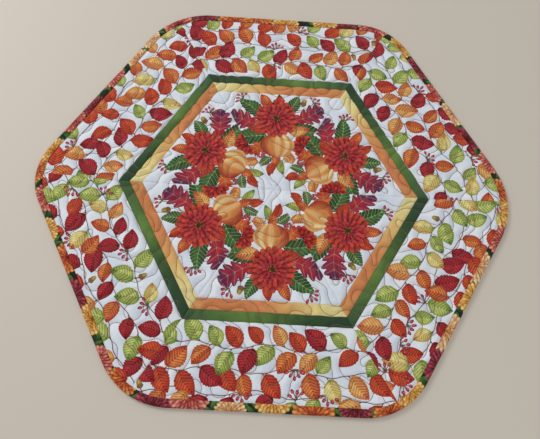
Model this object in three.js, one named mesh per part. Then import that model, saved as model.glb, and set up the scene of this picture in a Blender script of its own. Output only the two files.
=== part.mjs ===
// A hexagonal quilted table topper, lying flat on a table, in millimetres with +Z up.
// Its pieced top has six centre wedges, a ring of six peach strips, a ring of six green strips and six
// printed border panels mitred at the corners. A bias binding is folded over the rounded edge.
// Each panel holds the layers quilted to it, from the table up to its puffed face.
import * as THREE from "three";

// Finished sizes of the pieces
const wedgeSide = 160;
const peachWidth = 13.2;
const greenWidth = 12;
const bindingWidth = 9;

// The trimmed edge, anticlockwise from the side that faces 30 degrees: how far each side lies from the
// centre of the wedges, and the radius of the corner before it. It is as uneven as a hand-trimmed one.
const trimmedSides = [
  { distance: 261, cornerRadius: 95 },
  { distance: 263, cornerRadius: 78 },
  { distance: 262.5, cornerRadius: 92 },
  { distance: 258, cornerRadius: 75 },
  { distance: 257, cornerRadius: 85 },
  { distance: 259.5, cornerRadius: 81 },
];

// Heights above the table
const stitchedHeight = 2;
const puffedHeight = 4.3;
const seamDip = 0.8;
const rimUnderside = 1.2;
const rimTop = 3;

// Spaces
const seamGap = 0.3;
const puffReach = 9; // from a quilting line to the full height of a puff
const rawEdgeInset = 1.9; // from the outside of the binding to the cut edge inside it
const slotSpace = 0.7; // from the cut edge to the fold in front of it
const rimClearance = 0.6; // bare cloth between the binding's fold and the slope down to the table
const rimSlope = 2.6;
const cellSize = 8; // spacing of the points that carry the puffs
const bindingStep = 16;

// The quilting: one line that wanders round a random tree of knots and never crosses itself
const knotPitch = 30;
const knotJitter = 3;
const branchOffset = 5; // from a branch of the tree to the line on either side
const knotOffset = 10.2; // from a knot to the line that goes round it
const knotMargin = 15; // from the trimmed edge
const branchLately = 0.55; // share of branches that grow from the newest knot
const samplesPerPoint = 4;
const firstSeed = 20417;

const sixth = Math.PI / 3;
const rowRise = Math.sqrt(3) / 2;
const toApothem = Math.cos(sixth / 2);
const wedgeApothem = wedgeSide * toApothem;
const peachApothem = wedgeApothem + peachWidth;
const greenApothem = peachApothem + greenWidth;

const colours = {
  wedge: { color: 0xd9b9ae, roughness: 0.86, metalness: 0 },
  peach: { color: 0xdf9562, roughness: 0.84, metalness: 0 },
  green: { color: 0x47743a, roughness: 0.84, metalness: 0 },
  border: { color: 0xe4c3b4, roughness: 0.86, metalness: 0 },
  binding: { color: 0xb0522f, roughness: 0.8, metalness: 0 },
};

function direction(angle) {
  return new THREE.Vector2(Math.cos(angle), Math.sin(angle));
}

// The trimmed edge. Side k faces sixth * (k + 0.5), and corner k lies before it, at sixth * k.
const sideAngle = (k) => sixth * (k + 0.5);
const side = (k) => trimmedSides[(k + 6) % 6];

// The centre of corner k's arc lies its radius inside both of the sides that meet there.
function cornerCentre(k) {
  const radius = side(k).cornerRadius;
  const before = side(k - 1).distance - radius;
  const after = side(k).distance - radius;
  const along = (after - before * Math.cos(sixth)) / Math.sin(sixth);
  const normal = direction(sideAngle(k - 1));
  const tangent = direction(sideAngle(k - 1) + Math.PI / 2);
  return normal.multiplyScalar(before).addScaledVector(tangent, along);
}

// The edge of side k, from the middle of the corner before it to the middle of the corner after it.
function sideEdge(k) {
  const start = cornerCentre(k);
  const end = cornerCentre(k + 1);
  const path = new THREE.Path();
  path.absarc(start.x, start.y, side(k).cornerRadius, sixth * k, sideAngle(k));
  path.absarc(end.x, end.y, side(k + 1).cornerRadius, sideAngle(k), sixth * (k + 1));
  return path;
}
const sideEdges = trimmedSides.map((_, k) => sideEdge(k));

// A point on a side's edge, at a share u of its length and moved inwards by inset
function edgePoint(edge, u, inset) {
  const tangent = edge.getTangentAt(u);
  return edge.getPointAt(u).add(new THREE.Vector2(-tangent.y, tangent.x).multiplyScalar(inset));
}

// How far inside the trimmed edge a point lies
function insideBy(point) {
  let inside = Infinity;
  for (let k = 0; k < 6; k++) {
    inside = Math.min(inside, side(k).distance - point.dot(direction(sideAngle(k))));
    const fromCentre = point.clone().sub(cornerCentre(k));
    const turned = Math.abs(fromCentre.angle() - sixth * k);
    if (Math.min(turned, 2 * Math.PI - turned) < sixth / 2)
      inside = Math.min(inside, side(k).cornerRadius - fromCentre.length());
  }
  return inside;
}

// A small repeatable random number from 0 to 1
let seed = firstSeed;
function chance() {
  seed = (Math.imul(seed, 1664525) + 1013904223) >>> 0;
  return seed / 2 ** 32;
}

// The knots: a triangular lattice, shaken a little, inside the trimmed edge
function knots() {
  const found = new Map();
  for (let row = -9; row <= 9; row++)
    for (let column = -14; column <= 14; column++) {
      const point = new THREE.Vector2(column + row / 2, row * rowRise).multiplyScalar(knotPitch);
      point.x += (chance() - 0.5) * 2 * knotJitter;
      point.y += (chance() - 0.5) * 2 * knotJitter;
      if (insideBy(point) > knotMargin)
        found.set(column + "," + row, { column, row, point, branches: new Set() });
    }
  return found;
}

const lattice = [[1, 0], [0, 1], [-1, 1], [-1, 0], [0, -1], [1, -1]]; // columns and rows, 60 degrees apart

// Joins the knots into one tree: each step links a knot of the tree to a neighbour outside it.
function growTree(found) {
  const neighbour = (knot, d) => found.get(knot.column + lattice[d][0] + "," + (knot.row + lattice[d][1]));
  const start = found.get("0,0");
  const inTree = new Set([start]);
  const growing = [start];
  while (growing.length) {
    const pick = chance() < branchLately ? growing.length - 1 : Math.floor(chance() * growing.length);
    const free = [];
    for (let d = 0; d < 6; d++) {
      const other = neighbour(growing[pick], d);
      if (other && !inTree.has(other)) free.push(d);
    }
    if (!free.length) {
      growing.splice(pick, 1);
      continue;
    }
    const d = free[Math.floor(chance() * free.length)];
    const other = neighbour(growing[pick], d);
    growing[pick].branches.add(d);
    other.branches.add((d + 3) % 6);
    inTree.add(other);
    growing.push(other);
  }
  return neighbour;
}

// Walks once round the whole tree. Beside a branch the line keeps to its right; at a knot it goes past
// each direction that has no branch, so that a knot at a branch's end becomes a round lobe.
function quiltingLine() {
  const found = knots();
  const neighbour = growTree(found);
  const start = found.get("0,0");
  const points = [];
  const first = [...start.branches][0];
  let knot = start;
  let d = first;
  do {
    const next = neighbour(knot, d);
    const along = next.point.clone().sub(knot.point).normalize();
    const middle = knot.point.clone().add(next.point).multiplyScalar(0.5);
    points.push(middle.add(new THREE.Vector2(along.y, -along.x).multiplyScalar(branchOffset)));
    knot = next;
    d = (d + 4) % 6;
    while (!knot.branches.has(d)) {
      points.push(knot.point.clone().addScaledVector(direction(sixth * d), knotOffset));
      d = (d + 1) % 6;
    }
  } while (knot !== start || d !== first);
  const flat = points.map((p) => new THREE.Vector3(p.x, p.y, 0));
  const curve = new THREE.CatmullRomCurve3(flat, true, "catmullrom", 0.5);
  return curve.getPoints(points.length * samplesPerPoint);
}
const quilting = quiltingLine();

// The height of the puffed face: low on a quilting line, and rising in a round curve away from it
function puffAt(x, y) {
  let nearest = Infinity;
  for (const p of quilting) nearest = Math.min(nearest, (p.x - x) ** 2 + (p.y - y) ** 2);
  const away = 1 - Math.min(Math.sqrt(nearest) / puffReach, 1);
  return stitchedHeight + (puffedHeight - stitchedHeight) * (1 - away ** 2);
}

function shareAlong(chain) {
  const far = [0];
  for (let i = 1; i < chain.length; i++) far.push(far[i - 1] + chain[i].distanceTo(chain[i - 1]));
  return far.map((f) => f / (far[far.length - 1] || 1));
}

// Fills the strip between two chains of points with triangles, going along both at the same pace.
// The faces point along (b - a) x (the way that the chains run).
function zip(triangles, a, b) {
  const farA = shareAlong(a);
  const farB = shareAlong(b);
  let i = 0;
  let j = 0;
  while (i < a.length - 1 || j < b.length - 1) {
    const stepA = j === b.length - 1 || (i < a.length - 1 && farA[i + 1] < farB[j + 1]);
    triangles.push(a[i], b[j], stepA ? a[i + 1] : b[j + 1]);
    if (stepA) i++;
    else j++;
  }
}

// A closed panel from rows of points that run anticlockwise, the first row nearest the centre
function panelGeometry(top, underside) {
  const triangles = [];
  const ends = (rows, last) => rows.map((row) => row[last ? row.length - 1 : 0]);
  for (let r = 1; r < underside.length; r++) zip(triangles, underside[r], underside[r - 1]);
  for (let r = 1; r < top.length; r++) zip(triangles, top[r - 1], top[r]);
  zip(triangles, ends(top, false), ends(underside, false));
  zip(triangles, ends(underside, true), ends(top, true));
  zip(triangles, underside[0], top[0]);
  zip(triangles, top[top.length - 1], underside[underside.length - 1]);
  const geometry = new THREE.BufferGeometry().setFromPoints(triangles);
  geometry.computeVertexNormals();
  return geometry;
}

// The row of panel k's points at a distance from the centre, between its two mitred seams
function straightRow(k, distance, cells, height) {
  const normal = direction(sideAngle(k));
  const tangent = direction(sideAngle(k) + Math.PI / 2);
  const half = distance * Math.tan(sixth / 2) - seamGap / 2 / toApothem;
  const row = [];
  for (let i = 0; i <= cells; i++) {
    const along = cells ? half * ((2 * i) / cells - 1) : 0;
    const p = normal.clone().multiplyScalar(distance).addScaledVector(tangent, along);
    row.push(new THREE.Vector3(p.x, p.y, height(p, i === 0 || i === cells)));
  }
  return row;
}

// The flat underside below rows of the top: the first and last rows whole, and of the rest only the ends
function undersideOf(rows, last) {
  return rows.map((row, r) => {
    const kept = r === 0 || r === last ? row : [row[0], row[row.length - 1]];
    return kept.map((p) => new THREE.Vector3(p.x, p.y, 0));
  });
}

const flatDown = () => 0;
const quilted = (p, onSeam) => puffAt(p.x, p.y) - (onSeam ? seamDip : 0);
const seamed = (p) => puffAt(p.x, p.y) - seamDip;

// A wedge or strip of side k, between two seams that lie at these distances from the centre
function straightPanel(k, from, to, firstCells, rows) {
  const inner = from ? from + seamGap / 2 : seamGap;
  const outer = to - seamGap / 2;
  const top = [];
  for (let r = 0; r <= rows; r++) {
    const distance = inner + ((outer - inner) * r) / rows;
    const height = r === 0 || r === rows ? seamed : quilted;
    top.push(straightRow(k, distance, firstCells + r, height));
  }
  return panelGeometry(top, undersideOf(top, rows));
}

// The border panel of side k: straight along the green strip, curved along the trimmed edge, where its
// rim is pressed flat and lies in the binding's fold
function borderPanel(k) {
  const inner = greenApothem + seamGap / 2;
  const foldInset = bindingWidth + rimClearance;
  const firstCells = Math.round((2 * inner * Math.tan(sixth / 2)) / cellSize);
  const rows = Math.round((side(k).distance - foldInset - inner) / (cellSize * rowRise));
  const curvedPoint = (u, inset) => {
    const half = seamGap / 2 / sideEdges[k].getLength();
    const p = edgePoint(sideEdges[k], half + u * (1 - 2 * half), inset);
    return new THREE.Vector3(p.x, p.y, 0);
  };
  // The row a share of the way from the straight seam to the edge's curve at this inset
  const rowAt = (share, cells, inset, height) =>
    straightRow(k, inner, cells, flatDown).map((p, i) => {
      const moved = p.lerp(curvedPoint(i / cells, inset), share);
      moved.z = height(moved, i === 0 || i === cells);
      return moved;
    });
  const top = [];
  for (let r = 0; r <= rows; r++)
    top.push(rowAt(r / rows, firstCells + r, foldInset, r === 0 ? seamed : r === rows ? () => rimTop : quilted));
  const underside = undersideOf(top.slice(0, rows));
  const rim = firstCells + rows;
  top.push(rowAt(1, rim, rawEdgeInset, () => rimTop));
  underside.push(
    rowAt(1, rim, foldInset + rimSlope, flatDown),
    rowAt(1, rim, foldInset, () => rimUnderside),
    rowAt(1, rim, rawEdgeInset, () => rimUnderside),
  );
  return panelGeometry(top, underside);
}

// The binding's section, as insets from the edge and heights: from the lower fold's lip round the
// outside to the upper fold's lip, and back along the slot that holds the rim
const bindingTop = rimTop + seamGap;
const bindingSection = [
  [bindingWidth, 0],
  [2.4, 0],
  [0.7, 0.7],
  [0, 2.2],
  [0.5, 3.6],
  [2.2, 4.4],
  [5.2, 4.6],
  [8.2, 4.4],
  [bindingWidth, 3.9],
  [bindingWidth, bindingTop],
  [rawEdgeInset - slotSpace, bindingTop],
  [rawEdgeInset - slotSpace, rimUnderside - seamGap],
  [bindingWidth, rimUnderside - seamGap],
];

// Carries the section once round the edge
function bindingGeometry() {
  const sections = [];
  for (const edge of sideEdges) {
    const steps = Math.round(edge.getLength() / bindingStep);
    for (let s = 0; s < steps; s++)
      sections.push(
        bindingSection.map(([inset, height]) => {
          const p = edgePoint(edge, s / steps, inset);
          return new THREE.Vector3(p.x, p.y, height);
        }),
      );
  }
  const triangles = [];
  sections.forEach((section, i) => {
    const next = sections[(i + 1) % sections.length];
    section.forEach((p, j) => {
      const q = (j + 1) % section.length;
      triangles.push(p, next[j], next[q], p, next[q], section[q]);
    });
  });
  const geometry = new THREE.BufferGeometry().setFromPoints(triangles);
  geometry.computeVertexNormals();
  return geometry;
}

const topper = new THREE.Group();
function addPiece(name, geometry, look) {
  const piece = new THREE.Mesh(geometry, new THREE.MeshStandardMaterial(look));
  piece.name = name;
  topper.add(piece);
}

const wedgeCells = Math.round(wedgeSide / cellSize);
const stripRows = 2;
for (let k = 0; k < 6; k++) {
  const n = k + 1;
  addPiece("centre_wedge_" + n, straightPanel(k, 0, wedgeApothem, 0, wedgeCells), colours.wedge);
  addPiece("peach_strip_" + n, straightPanel(k, wedgeApothem, peachApothem, wedgeCells, stripRows), colours.peach);
  addPiece(
    "green_strip_" + n,
    straightPanel(k, peachApothem, greenApothem, wedgeCells + stripRows, stripRows),
    colours.green,
  );
  addPiece("border_panel_" + n, borderPanel(k), colours.border);
}
addPiece("binding", bindingGeometry(), colours.binding);

// The origin is the middle of the topper's outline, on the table.
const reach = new THREE.Box3().setFromObject(topper);
const middle = reach.getCenter(new THREE.Vector3());
topper.position.set(-middle.x, -middle.y, 0);

export default topper;
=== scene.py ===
import math
from functools import partial

import bpy
import numpy as np
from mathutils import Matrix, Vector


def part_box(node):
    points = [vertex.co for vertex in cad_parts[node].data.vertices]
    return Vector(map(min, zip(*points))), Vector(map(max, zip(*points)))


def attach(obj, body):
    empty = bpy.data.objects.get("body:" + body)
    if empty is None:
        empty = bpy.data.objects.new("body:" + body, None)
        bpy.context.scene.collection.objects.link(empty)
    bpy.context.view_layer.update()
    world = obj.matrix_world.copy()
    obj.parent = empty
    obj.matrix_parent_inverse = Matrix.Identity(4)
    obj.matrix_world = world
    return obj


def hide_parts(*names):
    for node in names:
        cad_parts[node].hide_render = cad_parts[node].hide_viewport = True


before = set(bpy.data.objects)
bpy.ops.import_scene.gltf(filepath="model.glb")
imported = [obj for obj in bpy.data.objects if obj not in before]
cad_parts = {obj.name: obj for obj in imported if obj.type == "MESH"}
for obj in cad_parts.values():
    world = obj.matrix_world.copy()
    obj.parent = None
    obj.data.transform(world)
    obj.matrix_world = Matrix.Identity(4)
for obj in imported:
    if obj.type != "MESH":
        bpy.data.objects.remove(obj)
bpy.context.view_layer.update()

# Lengths are in millimetres from the point where the wedges meet, and turn to metres as a mesh is made.
topper = {
    "wedgeSide": 160,
    "peachWidth": 13.2,
    "greenWidth": 12,
    "bindingWidth": 9,
    "sideDistance": [261, 263, 262.5, 258, 257, 259.5],  # the trimmed sides, the first facing 30 degrees
    "cornerRadius": [95, 78, 92, 75, 85, 81],  # of the corner before each side
    "pointSpacing": 0.88,  # of the puffed face
    "backSpacing": 3.6,  # of the underside
    "seamGap": 0.12,
    "cornerGap": 0.0002,  # share of a side's edge that its border leaves free at each end
}

sixth = math.pi / 3
wedgeApothem = topper["wedgeSide"] * math.cos(sixth / 2)
peachApothem = wedgeApothem + topper["peachWidth"]
greenApothem = peachApothem + topper["greenWidth"]

upStrip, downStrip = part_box("green_strip_2"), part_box("green_strip_5")
middle = np.array([(upStrip[0].x + upStrip[1].x) / 2, (upStrip[1].y + downStrip[0].y) / 2, 0])


def linear(code):  # an sRGB hex colour as linear light
    parts = np.array([int(code[i : i + 2], 16) for i in (1, 3, 5)]) / 255
    return np.where(parts <= 0.04045, parts / 12.92, ((parts + 0.055) / 1.055) ** 2.4)


def paints(codes):
    return [linear(code) for code in codes]


def ease(low, high, value):  # 0 below low, 1 above high, and a soft step between
    t = np.clip((value - low) / (high - low), 0, 1)
    return t * t * (3 - 2 * t)


def blend(a, b, share):  # colours a to b, by a share for each point
    return a + (b - a) * np.asarray(share)[..., None]


# The values of a square grid at places counted in its squares, straight between its points or eased. Past its
# end the grid starts again.
def gridded(values, x, y, eased=False):
    i, j = np.floor(x).astype(int), np.floor(y).astype(int)
    fx, fy = (ease(0, 1, x - i), ease(0, 1, y - j)) if eased else (x - i, y - j)
    i, j, nextI, nextJ = (index % len(values) for index in (i, j, i + 1, j + 1))
    low = values[i, j] * (1 - fx) + values[nextI, j] * fx
    high = values[i, nextJ] * (1 - fx) + values[nextI, nextJ] * fx
    return low * (1 - fy) + high * fy


def noise(x, y, size, seed):  # smooth, from -1 to 1
    return gridded(np.random.default_rng(seed).uniform(-1, 1, (97, 97)), x / size, y / size, eased=True)


def sideAngle(k):
    return sixth * (k + 0.5)


def towards(angle):
    return np.stack([np.cos(angle), np.sin(angle)], -1)


def turned(direction):  # a quarter turn anticlockwise
    return np.stack([-direction[..., 1], direction[..., 0]], -1)


# The centre of corner k's arc lies the arc's radius inside both of the sides that meet there.
def cornerCentre(k):
    distance, radius = topper["sideDistance"], topper["cornerRadius"][k % 6]
    before, after = distance[(k - 1) % 6] - radius, distance[k % 6] - radius
    normal = towards(sideAngle(k - 1))
    return normal * before + turned(normal) * (after - before * math.cos(sixth)) / math.sin(sixth)


# The trimmed edge of side k at shares u of its length: half a corner's arc, a straight side, and half of the
# next corner's arc. Gives the points, and the directions that point out of the cloth.
def trimmedEdge(k, u):
    startCentre, endCentre = cornerCentre(k), cornerCentre(k + 1)
    startRadius, endRadius = topper["cornerRadius"][k % 6], topper["cornerRadius"][(k + 1) % 6]
    normal = towards(sideAngle(k))
    straight = float(np.dot(endCentre - startCentre, turned(normal)))
    startArc, endArc = startRadius * sixth / 2, endRadius * sixth / 2
    along = u * (startArc + straight + endArc)
    onStart, onEnd = along < startArc, along > startArc + straight
    angle = sideAngle(k) + np.minimum(along - startArc, 0) / startRadius
    angle = angle + np.maximum(along - startArc - straight, 0) / endRadius
    out = towards(angle)
    onSide = startCentre + normal * startRadius + turned(normal) * (along - startArc)[:, None]
    onSide = np.where(onStart[:, None], startCentre + out * startRadius, onSide)
    return np.where(onEnd[:, None], endCentre + out * endRadius, onSide), out


# How far inside the trimmed edge: the least distance to a side, or to a corner's arc beside that corner
def insideBy(x, y):
    inside = np.full(np.shape(x), np.inf)
    for k in range(6):
        normal, centre = towards(sideAngle(k)), cornerCentre(k)
        inside = np.minimum(inside, topper["sideDistance"][k] - x * normal[0] - y * normal[1])
        away = (np.arctan2(y - centre[1], x - centre[0]) - sixth * k + math.pi) % (2 * math.pi) - math.pi
        arc = topper["cornerRadius"][k] - np.hypot(x - centre[0], y - centre[1])
        inside = np.where(np.abs(away) < sixth / 2, np.minimum(inside, arc), inside)
    return inside


# The quilting: one line that wanders round a random tree of knots and never crosses itself, as in the solids
quilting = {
    "rows": 9,  # of knots on each side of the middle
    "columns": 14,
    "knotPitch": 30,
    "knotJitter": 3,
    "branchOffset": 5,  # from a branch of the tree to the line on either side
    "knotOffset": 10.2,  # from a knot to the line that goes round it
    "knotMargin": 15,  # from the trimmed edge
    "branchLately": 0.55,  # share of branches that grow from the newest knot
    "seed": 20417,
    "samplesPerPoint": 8,
    "puffReach": 9,  # from the line to the full height of a puff
}


def quiltingLine():
    state = [quilting["seed"]]

    def chance():  # the same random numbers as in the solids
        state[0] = (state[0] * 1664525 + 1013904223) % 2**32
        return state[0] / 2**32

    steps = [(1, 0), (0, 1), (-1, 1), (-1, 0), (0, -1), (1, -1)]
    pitch, jitter = quilting["knotPitch"], quilting["knotJitter"]
    knots = {}
    for row in range(-quilting["rows"], quilting["rows"] + 1):
        for column in range(-quilting["columns"], quilting["columns"] + 1):
            x = (column + row / 2) * pitch + (chance() - 0.5) * 2 * jitter
            y = row * math.sqrt(3) / 2 * pitch + (chance() - 0.5) * 2 * jitter
            if insideBy(x, y) > quilting["knotMargin"]:
                knots[column, row] = np.array([x, y])
    branches = {knot: {} for knot in knots}

    def beside(knot, d):
        return knot[0] + steps[d][0], knot[1] + steps[d][1]

    growing, inTree = [(0, 0)], {(0, 0)}
    while growing:
        pick = len(growing) - 1 if chance() < quilting["branchLately"] else int(chance() * len(growing))
        knot = growing[pick]
        free = [d for d in range(6) if beside(knot, d) in knots and beside(knot, d) not in inTree]
        if not free:
            growing.pop(pick)
            continue
        d = free[int(chance() * len(free))]
        other = beside(knot, d)
        branches[knot][d] = branches[other][(d + 3) % 6] = True
        inTree.add(other)
        growing.append(other)
    points = []
    first = knot, d = (0, 0), next(iter(branches[0, 0]))
    while not points or (knot, d) != first:
        here, after = knots[knot], knots[beside(knot, d)]
        along = (after - here) / np.linalg.norm(after - here)
        points.append((here + after) / 2 - turned(along) * quilting["branchOffset"])
        knot, d = beside(knot, d), (d + 4) % 6
        while d not in branches[knot]:
            points.append(knots[knot] + towards(sixth * d) * quilting["knotOffset"])
            d = (d + 1) % 6
    # the line passes each point in the direction that joins its neighbours, with a cubic between the points
    p = np.array(points)
    p0, p1, p2, p3 = np.roll(p, 1, 0), p, np.roll(p, -1, 0), np.roll(p, -2, 0)
    t = (np.arange(quilting["samplesPerPoint"]) / quilting["samplesPerPoint"])[:, None, None]
    slope1, slope2 = (p2 - p0) / 2, (p3 - p1) / 2
    curve = (2 * t**3 - 3 * t**2 + 1) * p1 + (t**3 - 2 * t**2 + t) * slope1
    curve = curve + (3 * t**2 - 2 * t**3) * p2 + (t**3 - t**2) * slope2
    return curve.transpose(1, 0, 2).reshape(-1, 2)


print("quilting line")
line = quiltingLine()
lineStep = np.linalg.norm(np.roll(line, -1, 0) - line, axis=1)
lineAlong = np.concatenate([[0], np.cumsum(lineStep)])

# A map of the cloth, on squares of mapCell: the distance to the quilting line, and how far along it that is
mapCell, mapHalf = 0.5, 300
mapReach = int((quilting["puffReach"] + 1) / mapCell)
mapSteps = np.arange(-mapReach, mapReach + 1)
mapSize = int(2 * mapHalf / mapCell)
nearMap = np.full((mapSize, mapSize), 99.0, np.float32)
alongMap = np.zeros((mapSize, mapSize), np.float32)
for a, b, start in zip(line, np.roll(line, -1, 0), lineAlong):
    i, j = ((a + mapHalf) / mapCell).astype(int)
    cells = np.ix_(i + mapSteps, j + mapSteps)
    x, y = (cells[axis] * mapCell - mapHalf - a[axis] for axis in (0, 1))
    step = b - a
    share = np.clip((x * step[0] + y * step[1]) / np.dot(step, step), 0, 1)
    away = np.hypot(x - share * step[0], y - share * step[1])
    closer = away < nearMap[cells]
    nearMap[cells] = np.where(closer, away, nearMap[cells])
    alongMap[cells] = np.where(closer, start + share * np.linalg.norm(step), alongMap[cells])


def mapped(values, x, y):
    return gridded(values, (x + mapHalf) / mapCell, (y + mapHalf) / mapCell)


relief = {
    "stitchedHeight": 2,
    "puffedHeight": 4.3,
    "puffVariety": 0.12,  # share by which one puff is higher than another
    "puffVarietySize": 21,
    "seamDip": 0.8,
    "seamWidth": 1.7,
    "rimTop": 3,
    "rimTopSlope": 3.2,
    "rimUnderside": 1.2,
    "rimSlope": 2.6,
    "rimInset": 1.9,
    "rimClearance": 0.6,
    "threadGroove": 0.3,
    "threadGrooveWidth": 0.8,
    "pucker": 0.17,  # small gathers across the line
    "puckerPitch": 5.7,
    "puckerFade": 2.6,
    "puckerWander": 2,  # radians that the gathers stray from an even pitch
    "puckerWanderSize": 17,
    "crumple": 0.13,
    "crumpleSize": 7.5,
    "fineCrumple": 0.45,  # as a share of the crumple
    "fineCrumpleSize": 3.4,
}


# The distance to the nearest seam: the six that run out between the sectors, and three hexagons
def seamDistance(x, y):
    angle = np.arctan2(y, x) % sixth
    radius = np.hypot(x, y)
    out = radius * np.cos(angle - sixth / 2)
    nearest = radius * np.sin(np.minimum(angle, sixth - angle))
    for apothem in (wedgeApothem, peachApothem, greenApothem):
        nearest = np.minimum(nearest, np.abs(out - apothem))
    return nearest


# The puffed face: low on the quilting line and rising in a round curve away from it, with gathers across the
# line that fade with distance, a dip at each seam, and flat where it goes into the binding
def topHeight(x, y):
    near = mapped(nearMap, x, y)
    along = mapped(alongMap, x, y)
    rise = 1 - (1 - np.minimum(near / quilting["puffReach"], 1)) ** 2
    rise = rise * (1 + relief["puffVariety"] * noise(x, y, relief["puffVarietySize"], 5))
    height = relief["stitchedHeight"] + (relief["puffedHeight"] - relief["stitchedHeight"]) * rise
    wander = relief["puckerWander"] * noise(x, y, relief["puckerWanderSize"], 6)
    pucker = np.exp(-near / relief["puckerFade"]) * np.minimum(near, 1)
    height += relief["pucker"] * pucker * np.cos(2 * math.pi * along / relief["puckerPitch"] + wander)
    fine = relief["fineCrumple"] * noise(x, y, relief["fineCrumpleSize"], 8)
    height += relief["crumple"] * rise * (noise(x, y, relief["crumpleSize"], 7) + fine)
    height -= relief["threadGroove"] * np.exp(-((near / relief["threadGrooveWidth"]) ** 2))
    height -= relief["seamDip"] * np.exp(-((seamDistance(x, y) / relief["seamWidth"]) ** 2))
    fold = topper["bindingWidth"] + relief["rimClearance"]
    rim = ease(fold + relief["rimTopSlope"], fold, insideBy(x, y))
    return height + (relief["rimTop"] - height) * rim


# The underside lies on the table, and rises to the rim that the binding folds round.
def underHeight(x, y):
    fold = topper["bindingWidth"] + relief["rimClearance"]
    return relief["rimUnderside"] * ease(fold + relief["rimSlope"], fold - 1, insideBy(x, y))


# A patch of triangles whose row i has firstCells + i + 1 points. Gives each point's row and its place in the
# row, both from 0 to 1, the triangles, and the four chains of points round it.
def patch(firstCells, rows):
    counts = firstCells + 1 + np.arange(rows + 1)
    start = np.concatenate([[0], np.cumsum(counts)])
    row = np.repeat(np.arange(rows + 1), counts)
    column = np.arange(start[-1]) - start[row]
    below = row < rows
    a = np.arange(start[-1])[below]
    b = start[row[below] + 1] + column[below]
    pointing = np.stack([a, b, b + 1], 1)
    paired = column[below] < counts[row[below]] - 1
    hanging = np.stack([a[paired], b[paired] + 1, a[paired] + 1], 1)
    place = column / np.maximum(counts[row] - 1, 1)
    chains = {
        "inner": np.arange(counts[0]),
        "outer": start[rows] + np.arange(counts[rows]),
        "first": start[:-1],
        "last": start[:-1] + counts - 1,
    }
    return row / rows, place, np.concatenate([pointing, hanging]), chains


# The triangles between two chains of points, going along both at the same pace
def zipped(a, b):
    farA, farB = np.linspace(0, 1, len(a)), np.linspace(0, 1, len(b))
    stepA, stepB = np.arange(len(a) - 1), np.arange(len(b) - 1)
    besideA = np.searchsorted(farB[1:], farA[1:] - 1e-9, side="right")
    besideB = np.searchsorted(farA[1:] - 1e-9, farB[1:], side="left")
    besideA, besideB = np.minimum(besideA, len(b) - 1), np.minimum(besideB, len(a) - 1)
    fromA = np.stack([a[stepA], b[besideA], a[stepA + 1]], 1)
    fromB = np.stack([a[besideB], b[stepB], b[stepB + 1]], 1)
    return np.concatenate([fromA, fromB])


def newObject(name, data):
    made = bpy.data.objects.new(name, data)
    bpy.context.scene.collection.objects.link(made)
    return made


# A new mesh object from arrays, riding on the topper. Its weave follows the plan of its cloth laid flat.
def newPiece(name, points, triangles, materials, numbers, plan, slots=None):
    mesh = bpy.data.meshes.new(name)
    mesh.vertices.add(len(points))
    mesh.vertices.foreach_set("co", (points * 0.001 + middle).astype(np.float32).ravel())
    mesh.loops.add(triangles.size)
    mesh.loops.foreach_set("vertex_index", triangles.astype(np.int32).ravel())
    mesh.polygons.add(len(triangles))
    mesh.polygons.foreach_set("loop_start", np.arange(0, triangles.size, 3, dtype=np.int32))
    if slots is not None:
        mesh.polygons.foreach_set("material_index", slots.astype(np.int32))
    mesh.polygons.foreach_set("use_smooth", np.ones(len(triangles), bool))
    for attribute, values in numbers.items():
        made = mesh.attributes.new(attribute, "FLOAT_VECTOR", "POINT")
        made.data.foreach_set("vector", values.astype(np.float32).ravel())
    weave = mesh.uv_layers.new(name="weave")
    weave.data.foreach_set("uv", (plan[triangles.ravel()] * 0.001).astype(np.float32).ravel())
    mesh.update(calc_edges=True)
    mesh.validate()
    for material in materials:
        mesh.materials.append(material)
    piece = newObject(name, mesh)
    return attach(piece, "root")


# A print is drawn on points of flat cloth as two layers of motifs and one of twigs. A layer holds the colour.
# Its lines hold the distance in mm to the motifs' edge, below 0 inside, the distance to the fine lines in the
# motif, and 0 where those lines are dark or 1 where they are pale. The twigs hold the distance to a twig's
# middle, below 0 on one side of it, and 1 beside a twig.
def newPrint(x, y):
    bare = np.tile([9.0, 9, 0], (len(x), 1))  # 9 mm from any motif
    return {
        "x": x,
        "y": y,
        "back": 0 * bare,
        "backLines": bare.copy(),
        "front": 0 * bare,
        "frontLines": bare.copy(),
        "twigs": bare * [1, 0, 0],
    }


def layersOf(cloth):  # what the material reads
    return {name: values for name, values in cloth.items() if name not in ("x", "y")}


softEdge = 0.7  # mm over which a motif covers another one
halo = 2  # mm that a motif's colour runs on over bare ground, where the material cuts it off sharply


# Lays a motif on a layer: it blends into a motif below it, and runs on over bare ground
def stamp(cloth, layer, near, distance, colour, fineLine=9.0, pale=0.0):
    tint, lines = cloth[layer], cloth[layer + "Lines"]
    old = lines[near, 0]
    over = np.clip(0.5 - distance / softEdge, 0, 1)
    share = np.where(old < 0, over, (distance < np.minimum(old, halo)).astype(float))
    tint[near] += (colour - tint[near]) * share[:, None]
    lines[near, 0] = np.minimum(old, distance)
    lines[near, 1] = np.where(share > 0.5, fineLine, lines[near, 1])
    lines[near, 2] = np.where(share > 0.5, pale, lines[near, 2])


# The points within a distance of a place, with their own coordinates along and across a turned axis
def around(cloth, x, y, turn, reach):
    near = np.flatnonzero(np.hypot(cloth["x"] - x, cloth["y"] - y) < reach)
    dx, dy = cloth["x"][near] - x, cloth["y"][near] - y
    c, s = math.cos(math.radians(turn)), math.sin(math.radians(turn))
    return near, dx * c + dy * s, dy * c - dx * s


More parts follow.
